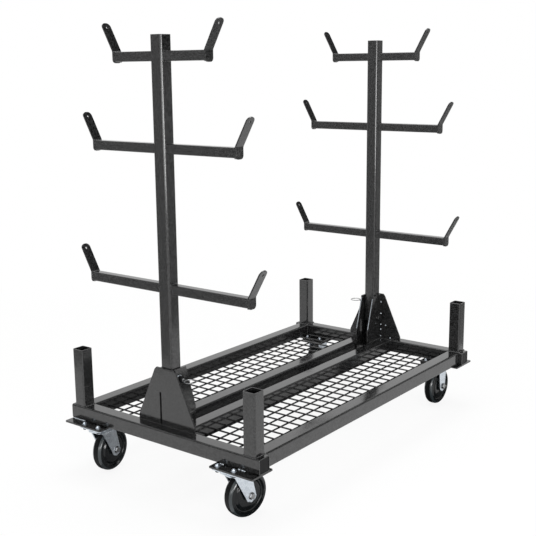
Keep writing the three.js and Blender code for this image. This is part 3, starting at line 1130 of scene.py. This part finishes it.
root = bolt["studRoot"]
headTop = bolt["washerHeight"] + bolt["height"]
nutFoot = -bolt["grip"] - bolt["nutHeight"]
boltParts = [
    disc(bolt["washer"], bolt["washerHeight"], "z", origin, 0, 1),
    hexHead(bolt["radius"], bolt["height"], "z", origin, bolt["washerHeight"], 1),
    disc(bolt["stud"], bolt["studHeight"], "z", origin, headTop - root, 1, bolt["studSteps"]),
]
nutParts = [
    hexHead(bolt["radius"], bolt["nutHeight"], "z", origin, -bolt["grip"], -1),
    disc(bolt["stud"], bolt["tail"] + root, "z", origin, nutFoot + root, -1, bolt["studSteps"]),
]
boltPoints = []
for end in ends:
    for sign in sides.values():
        for x in bolt["rows"][end]:
            for across in (-bolt["spanWide"] / 2, bolt["spanWide"] / 2):
                y = sign * cart["casterY"] + across
                boltPoints.append((x, y, cart["padBottom"] + pad["thickness"]))
addSet("casterBolts", meshFrom("boltPart", *joined(boltParts)), boltPoints, zinc)
addSet("casterNuts", meshFrom("nutPart", *joined(nutParts)), boltPoints, paint)

# Plugs set into the open ends of the end rails.
plug = {"thickness": 5.0, "setback": 1.5, "corner": 3.0, "play": 0.4, "edge": 0.8}
plugWidth = rail["size"] - 2 * rail["wall"] - plug["play"]
plugLine = roundedBox(plugWidth, plugWidth, plug["corner"], steps=4)
plugMesh = plateMesh("plugPart", plugLine, [], plug["thickness"], plug["edge"], lambda a, b, c: (a, c, b))
plugPoints = []
for facts in ends.values():
    for sign in sides.values():
        y = sign * (rail["endHalf"] - plug["setback"] - plug["thickness"] / 2)
        plugPoints.append((facts["sign"] * endMiddle, y, railMiddle))
addSet("railPlugs", plugMesh, plugPoints, barrelBlack)

# Caster plates with their ball race, forks and axles. The race's lip is given from its radius and its top.
topPlate = {"length": 114.0, "width": 101.6, "thickness": 5.0, "corner": 10.0, "trim": 1.0, "edge": 0.6}
race = {
    "radius": 42.0,
    "low": 164.3,
    "bore": 10.3,
    "lip": [(0, 0), (0.8, -1.2), (0.4, -3.2), (-2.2, -4.2), (-2.2, -5.0), (-0.4, -6.0)],
    "footInset": 0.8,
}
fork = {
    "leg": 5.0,
    "legMiddle": 26.5,
    "legSteps": 22,
    "crownTop": 164.0,
    "crownFront": -43.0,
    "crownBack": 38.0,
    "crownSteps": 6,
    "legFront": -30.0,
    "rigidHalf": 32.0,
    "rigidRise": 0.4,
    "eye": 21.0,
    "eyeDrop": 4.0,
    "eyeLeast": 0.3,
    "bendRadius": 9.0,
    "bendAngles": (0.4, 0.8, 1.2),
    "bulge": 1.6,
    "columns": 10,
    "edge": 0.8,
    "edgeAngle": 50,
}
kingpin = {"radius": 10.0, "sunk": 1.0, "nut": 13.0, "nutHeight": 5.0}
axle = {"shank": 7.0, "head": 11.0, "headHeight": 6.0, "washer": 12.5, "washerHeight": 1.6, "sunk": 0.6}


def topPlateMesh(name, x, y, holes):
    trim = topPlate["trim"]
    box = roundedBox(topPlate["length"] - trim, topPlate["width"] - trim, topPlate["corner"], steps=6)
    level = cart["padBottom"] - topPlate["thickness"] / 2
    return plateMesh(
        name, [(x + a, y + b) for a, b in box], holes, topPlate["thickness"], topPlate["edge"],
        lambda a, b, c: (a, b, level + c),
    )


# The fork's sheet across the wheel: up one leg, over the crown and down the other, as (across, height).
def forkPath(crown):
    middle = fork["legMiddle"]
    radius = fork["bendRadius"]
    bottom = cart["axleZ"] - fork["eye"]
    spring = crown - radius
    steps = fork["crownSteps"]
    low = [bottom + (spring - bottom) * i / fork["legSteps"] for i in range(fork["legSteps"] + 1)]
    bends = []
    for angle in fork["bendAngles"]:
        bends.append((middle - radius + radius * math.cos(angle), spring + radius * math.sin(angle)))
    path = [(-middle, z) for z in low]
    path += [(-a, z) for a, z in bends]
    path += [(-middle + radius + (middle - radius) * 2 * i / steps, crown) for i in range(steps + 1)]
    path += reversed(bends)
    path += [(middle, z) for z in reversed(low)]
    return path


# Pressed fork: a bent sheet whose legs narrow to a round eye at the axle.
def forkSheet(axleX, crownTop, topFront, topBack, legFront, legBack):
    eye = fork["eye"]
    crown = crownTop - fork["leg"] / 2
    radius = fork["bendRadius"]
    edgeZ = cart["axleZ"] - fork["eyeDrop"]

    def span(z):
        if z < edgeZ:
            reach = math.sqrt(max(eye ** 2 - (z - cart["axleZ"]) ** 2, fork["eyeLeast"]))
            return axleX - reach, axleX + reach
        part = (z - edgeZ) / (crownTop - edgeZ)
        reach = math.sqrt(eye ** 2 - fork["eyeDrop"] ** 2)
        front = axleX - reach
        back = axleX + reach
        return front + (legFront - front) * part, back + (legBack - back) * part

    columns = fork["columns"]
    points = []
    path = forkPath(crown)
    for a, z in path:
        front, back = span(z)
        blend = max(0.0, min(1.0, (z - (crown - radius)) / radius))
        front += (topFront - front) * blend
        back += (topBack - back) * blend
        for i in range(columns + 1):
            u = i / columns
            swell = fork["bulge"] * (1 - (2 * u - 1) ** 2) * (1 - blend)
            points.append((front + (back - front) * u, a + math.copysign(swell, a), z))
    count = columns + 1
    faces = []
    for i in range(len(path) - 1):
        for j in range(columns):
            faces.append([i * count + j, i * count + j + 1, (i + 1) * count + j + 1, (i + 1) * count + j])
    sheet = linked("forkSheet", meshFrom("forkSheet", points, faces))
    thick = sheet.modifiers.new("thick", "SOLIDIFY")
    thick.thickness = fork["leg"] * mm
    thick.offset = 0
    thick.use_even_offset = True
    rounded = sheet.modifiers.new("rounded", "BEVEL")
    rounded.width = fork["edge"] * mm
    rounded.segments = 2
    rounded.limit_method = "ANGLE"
    rounded.angle_limit = math.radians(fork["edgeAngle"])
    return frozen(sheet)


def appended(mesh, parts):
    work = bmesh.new()
    work.from_mesh(mesh)
    extra = meshFrom("extra", *joined(parts))
    work.from_mesh(extra)
    work.to_mesh(mesh)
    work.free()
    bpy.data.meshes.remove(extra)


# A caster's pieces are drawn at its own middle, then turned on the swivel and moved to the pad.
def casterMatrix(end, side):
    place = Vector((ends[end]["casterX"], sides[side] * cart["casterY"], 0)) * mm
    turn = swivel[side] if end == "front" else 0.0
    return Matrix.Translation(place) @ Matrix.Rotation(turn, 4, "Z")


def addAxle(end, side, body):
    middle = (ends[end]["lead"], 0, cart["axleZ"])
    reach = fork["legMiddle"] + fork["leg"] / 2 + fork["bulge"]
    shape = throughBolt(axle, middle, reach, reach - axle["sunk"])
    place = casterMatrix(end, side)
    # The darker copy of the zinc paints shade on the axle bolts.
    addSolid(f"{end}{side.capitalize()}Axle", shape, darkSteelAndShade, body, place=place)


raceTop = cart["padBottom"] - topPlate["thickness"]
for side, sign in sides.items():
    x = ends["front"]["casterX"]
    y = sign * cart["casterY"]
    name = f"front{side.capitalize()}CasterPlate"
    bore = race["bore"]
    mesh = topPlateMesh(name, x, y, [circleLine(x, y, bore + topPlate["edge"], steps=24)])
    profile = [(bore, raceTop)]
    profile += [(race["radius"] + a, raceTop + b) for a, b in race["lip"]]
    profile += [(race["radius"] - race["footInset"], race["low"]), (bore, race["low"])]
    appended(mesh, [revolved(profile, "z", (x, y, 0), steps=56)])
    addPiece(name, mesh, zinc, "base", [f"front_{side}_caster_plate"])

    crownTop = fork["crownTop"]
    back = fork["crownBack"]
    mesh = forkSheet(ends["front"]["lead"], crownTop, fork["crownFront"], back, fork["legFront"], back)
    pinHeight = cart["padBottom"] - crownTop
    appended(mesh, [
        disc(kingpin["radius"], pinHeight, "z", origin, crownTop - kingpin["sunk"], 1),
        hexHead(kingpin["nut"], kingpin["nutHeight"], "z", origin, crownTop - fork["leg"], -1),
    ])
    mesh.transform(casterMatrix("front", side))
    name = f"front{side.capitalize()}SwivelFork"
    addPiece(name, mesh, zinc, f"front_{side}_swivel", [f"front_{side}_swivel_fork"])
    addAxle("front", side, f"front_{side}_swivel")

    half = fork["rigidHalf"]
    mesh = forkSheet(ends["rear"]["lead"], raceTop + fork["rigidRise"], -half, half, -half, half)
    mesh.transform(casterMatrix("rear", side))
    addPiece(f"rear{side.capitalize()}RigidFork", mesh, zinc, "base", [f"rear_{side}_rigid_fork"])
    # Cover in the frame's dark paint on each rear caster's top plate: painted shade where the zinc plate lies
    # under the deck.
    name = f"rear{side.capitalize()}CasterTop"
    mesh = topPlateMesh(name, 0, 0, [])
    mesh.transform(casterMatrix("rear", side))
    addPiece(name, mesh, paint, "base")
    addAxle("rear", side, "base")

# Wheels: a moulded core with grooved sides, a crowned tread and grey edges, the edges' grey a painted sheen
# on the rounded shoulders. The groove is given as radius and depth, the shoulder as drop and depth, and the
# edge as the shoulder's points that it runs between.
wheel = {
    "radius": 76.0,
    "half": 20.0,
    "bore": 7.3,
    "boreEdge": 0.6,
    "hub": 18.0,
    "groove": [
        (18.8, 0.5), (22, 0.9), (30, 1.0), (42.5, 1.2), (45, 1.8), (47, 3.1), (49, 5.1),
        (51, 6.9), (53, 7.8), (55, 8.0), (57, 7.2), (58.7, 5.0), (60, 1.6), (61, 0),
    ],
    "shoulder": [(14, 0), (10.4, 0.5), (7.0, 1.9), (4.1, 4.1), (1.9, 7.0), (0.5, 10.4), (0, 14)],
    "edge": (2, 5),
    "sunk": 0.8,
    "skin": 2.0,
    "steps": 96,
}
collar = {"bore": 7.4, "radius": 13.5, "length": 2.6, "bevel": (1.0, 0.6), "steps": 36}


def otherSide(line):
    return [(radius, -s) for radius, s in reversed(line)]


def wheelProfile():
    half = wheel["half"]
    bore = wheel["bore"]
    cut = wheel["boreEdge"]
    right = [(bore, half - cut), (bore + cut, half), (wheel["hub"], half)]
    right += [(radius, half - depth) for radius, depth in wheel["groove"]]
    for i, (drop, depth) in enumerate(wheel["shoulder"]):
        sunk = wheel["sunk"] if i > wheel["edge"][0] else 0.0
        right.append((wheel["radius"] - drop - sunk, half - depth))
    return right + otherSide(right)


# The tread and the rounded edges are skins over the core, each a closed ring along its part of the shoulder.
def skinRing(outer, middle):
    inner = [(radius - wheel["skin"], s) for radius, s in reversed(outer)]
    return revolved(outer + inner, "y", middle, wheel["steps"])


def wheelSkins(middle):
    first, last = wheel["edge"]
    curve = [(wheel["radius"] - drop, wheel["half"] - depth) for drop, depth in wheel["shoulder"]]
    edge = curve[first : last + 1]
    tread = curve[last:]
    edges = [skinRing(edge, middle), skinRing(otherSide(edge), middle)]
    return skinRing(tread + otherSide(tread), middle), joined(edges)


def wheelCollars(middle):
    bore = collar["bore"]
    radius = collar["radius"]
    inset, bevel = collar["bevel"]
    parts = []
    for direction in (1, -1):
        start = direction * wheel["half"]
        stop = start + direction * collar["length"]
        top = stop + direction * bevel
        profile = [(bore, start), (radius, start), (radius, stop), (radius - inset, top), (bore, top)]
        parts.append(revolved(profile, "y", middle, collar["steps"]))
    return joined(parts)


for end, facts in ends.items():
    for side in sides:
        middle = (facts["lead"], 0, cart["axleZ"])
        place = casterMatrix(end, side)
        name = f"{end}{side.capitalize()}Wheel"
        body = f"{end}_{side}_roller"
        core = revolved(wheelProfile(), "y", middle, wheel["steps"])
        tread, edges = wheelSkins(middle)
        addSolid(name, core, wheelBlack, body, [f"{end}_{side}_wheel"], sharp=50, place=place)
        addSolid(f"{name}Tread", tread, treadBlack, body, sharp=50, place=place)
        addSolid(f"{name}Edges", edges, edgeSheenGrey, body, sharp=50, place=place)
        addSolid(f"{name}Collars", wheelCollars(middle), zinc, body, place=place)
print("stage: casters made")

# Camera at the photograph's place.
view = {
    "place": (-2.77899, -2.07001, 1.3794),
    "yaw": 37.71,
    "pitch": -11.87,
    "roll": -0.61,
    "focal": 953.36,
    "frame": 536,
    "sensor": 36,
    "far": 100,
}


def addCamera():
    yaw, pitch, roll = (math.radians(view[label]) for label in ("yaw", "pitch", "roll"))
    ahead = Vector((math.cos(pitch) * math.cos(yaw), math.cos(pitch) * math.sin(yaw), math.sin(pitch)))
    right = ahead.cross(Vector((0, 0, 1))).normalized()
    up = right.cross(ahead)
    tiltedRight = right * math.cos(roll) + up * math.sin(roll)
    tiltedUp = up * math.cos(roll) - right * math.sin(roll)
    data = bpy.data.cameras.new("photoCamera")
    data.sensor_width = view["sensor"]
    data.lens = view["sensor"] * view["focal"] / view["frame"]
    data.clip_end = view["far"]
    camera = linked("photoCamera", data)
    turn = Matrix((tiltedRight, tiltedUp, -ahead)).transposed().to_4x4()
    camera.matrix_world = Matrix.Translation(view["place"]) @ turn
    scene.camera = camera


addCamera()

# White floor and background with soft light. Matte cards that only mirrors see stand beside the cart and
# paint reflections, so that the gloss has something to show: grey to the left, grey under black to the right,
# and strips on the floor that paint the cart's shadow into the reflections.
studio = {
    "floorSize": 60.0,
    "floorColor": (0.9, 0.9, 0.9),
    "glowReach": (1.0, 3.0),
    "glowNear": 0.88,
    "fill": 0.8,
    "cardSteps": 24,
}
cards = {
    "rightCard": {"radius": 1.6, "from": -72.0, "to": -38.0, "low": 0.02, "high": 1.42, "tone": 0.36},
    "farRightCard": {"radius": 1.6, "from": -38.0, "to": -14.0, "low": 0.02, "high": 1.62, "tone": 0.36},
    "rightTopCard": {"radius": 2.4, "from": -72.0, "to": 0.0, "low": 1.4, "high": 6.5, "tone": 0.04},
    "leftCard": {"radius": 1.9, "from": 94.0, "to": 176.0, "low": 0.02, "high": 3.0, "tone": 0.44},
}
# Strips on the floor that only mirrors see: painted shade, the cart's shadow on the floor as the reflections
# show it, lighter by its right side.
shade = {
    "along": (-0.70, 1.15),
    "height": 0.002,
    "strips": [(-0.50, -0.385, 0.88), (-0.385, -0.24, 0.10), (-0.24, 0.44, 0.37)],
}
lamps = {
    "keyLamp": {"place": (-3.6, -2.7, 1.0), "aim": (0, 0, 1.0), "size": (6.0, 1.0), "power": 55},
    "sideLamp": {"place": (-2.1, -3.95, 1.1), "aim": (0, 0, 0.6), "size": (0.9, 1.4), "power": 55},
    "topLamp": {"place": (0.2, 0.3, 3.6), "aim": (0, 0, 0.3), "size": (2.4, 1.6), "power": 45},
}


def maximum(tree, first, second):
    return addNode(tree, "ShaderNodeMath", {0: first, 1: second}, operation="MAXIMUM")["Value"]


# One for rays that come from the camera, straight or by way of a mirror or a pane.
def seenDirectly(tree):
    path = tree.nodes.new("ShaderNodeLightPath").outputs
    seen = maximum(tree, path["Is Camera Ray"], path["Is Glossy Ray"])
    return maximum(tree, seen, path["Is Transmission Ray"])


def stageMaterial(name, color):
    material = bpy.data.materials.new(name)
    material.use_nodes = True
    tree = material.node_tree
    tree.nodes.clear()
    matte = addNode(tree, "ShaderNodeBsdfDiffuse", {"Color": (*color, 1)})["BSDF"]
    surface = tree.nodes.new("ShaderNodeOutputMaterial").inputs["Surface"]
    tree.links.new(matte, surface)
    return material, matte, surface


def addFloor():
    half = studio["floorSize"] / 2
    mesh = bpy.data.meshes.new("studioFloor")
    mesh.from_pydata([(a * half, b * half, 0) for a, b in boxCorners], [], [[0, 1, 2, 3]])
    floor = linked("studioFloor", mesh)
    material, matte, surface = stageMaterial("studioFloor", studio["floorColor"])
    tree = material.node_tree
    coordinates = tree.nodes.new("ShaderNodeTexCoord").outputs["Object"]
    distance = addNode(tree, "ShaderNodeVectorMath", {0: coordinates}, operation="LENGTH")["Value"]
    near = rangeNode(tree, distance, *studio["glowReach"], studio["glowNear"], 1)
    share = addNode(tree, "ShaderNodeMath", {0: seenDirectly(tree), 1: near}, operation="MULTIPLY")["Value"]
    glow = tree.nodes.new("ShaderNodeEmission").outputs["Emission"]
    mix = addNode(tree, "ShaderNodeMixShader", {"Fac": share, 1: matte, 2: glow})
    tree.links.new(mix["Shader"], surface)
    mesh.materials.append(material)


def addCard(name, points, faces, tone):
    mesh = bpy.data.meshes.new(name)
    mesh.from_pydata(points, [], faces)
    mesh.materials.append(stageMaterial(name, (tone,) * 3)[0])
    card = linked(name, mesh)
    card.visible_camera = False
    card.visible_shadow = False
    card.visible_diffuse = False


def addCards():
    steps = studio["cardSteps"]
    for name, facts in cards.items():
        start = math.radians(facts["from"])
        stop = math.radians(facts["to"])
        points = []
        for place in arcLine(0, 0, facts["radius"], start, stop, steps):
            points += [(*place, facts["low"]), (*place, facts["high"])]
        faces = [[2 * i, 2 * i + 2, 2 * i + 3, 2 * i + 1] for i in range(steps)]
        addCard(name, points, faces, facts["tone"])
    start, stop = shade["along"]
    for i, (right, left, tone) in enumerate(shade["strips"]):
        corners = [(start, right), (stop, right), (stop, left), (start, left)]
        points = [(*corner, shade["height"]) for corner in corners]
        addCard(f"shadeCard{i + 1}", points, [[0, 1, 2, 3]], tone)


def addWorld():
    world = bpy.data.worlds.new("studio")
    world.use_nodes = True
    scene.world = world
    tree = world.node_tree
    tree.nodes.clear()
    strength = rangeNode(tree, seenDirectly(tree), 0, 1, studio["fill"], 1)
    background = addNode(tree, "ShaderNodeBackground", {"Color": (1, 1, 1, 1), "Strength": strength})
    addNode(tree, "ShaderNodeOutputWorld", {"Surface": background["Background"]})


def addLamps():
    for name, facts in lamps.items():
        data = bpy.data.lights.new(name, "AREA")
        data.shape = "RECTANGLE"
        data.size, data.size_y = facts["size"]
        data.energy = facts["power"]
        lamp = linked(name, data)
        toward = Vector(facts["aim"]) - Vector(facts["place"])
        turn = toward.to_track_quat("-Z", "Y").to_matrix().to_4x4()
        lamp.matrix_world = Matrix.Translation(facts["place"]) @ turn


addFloor()
addCards()
addWorld()
addLamps()
scene.view_settings.view_transform = "Standard"
print("stage: studio made")
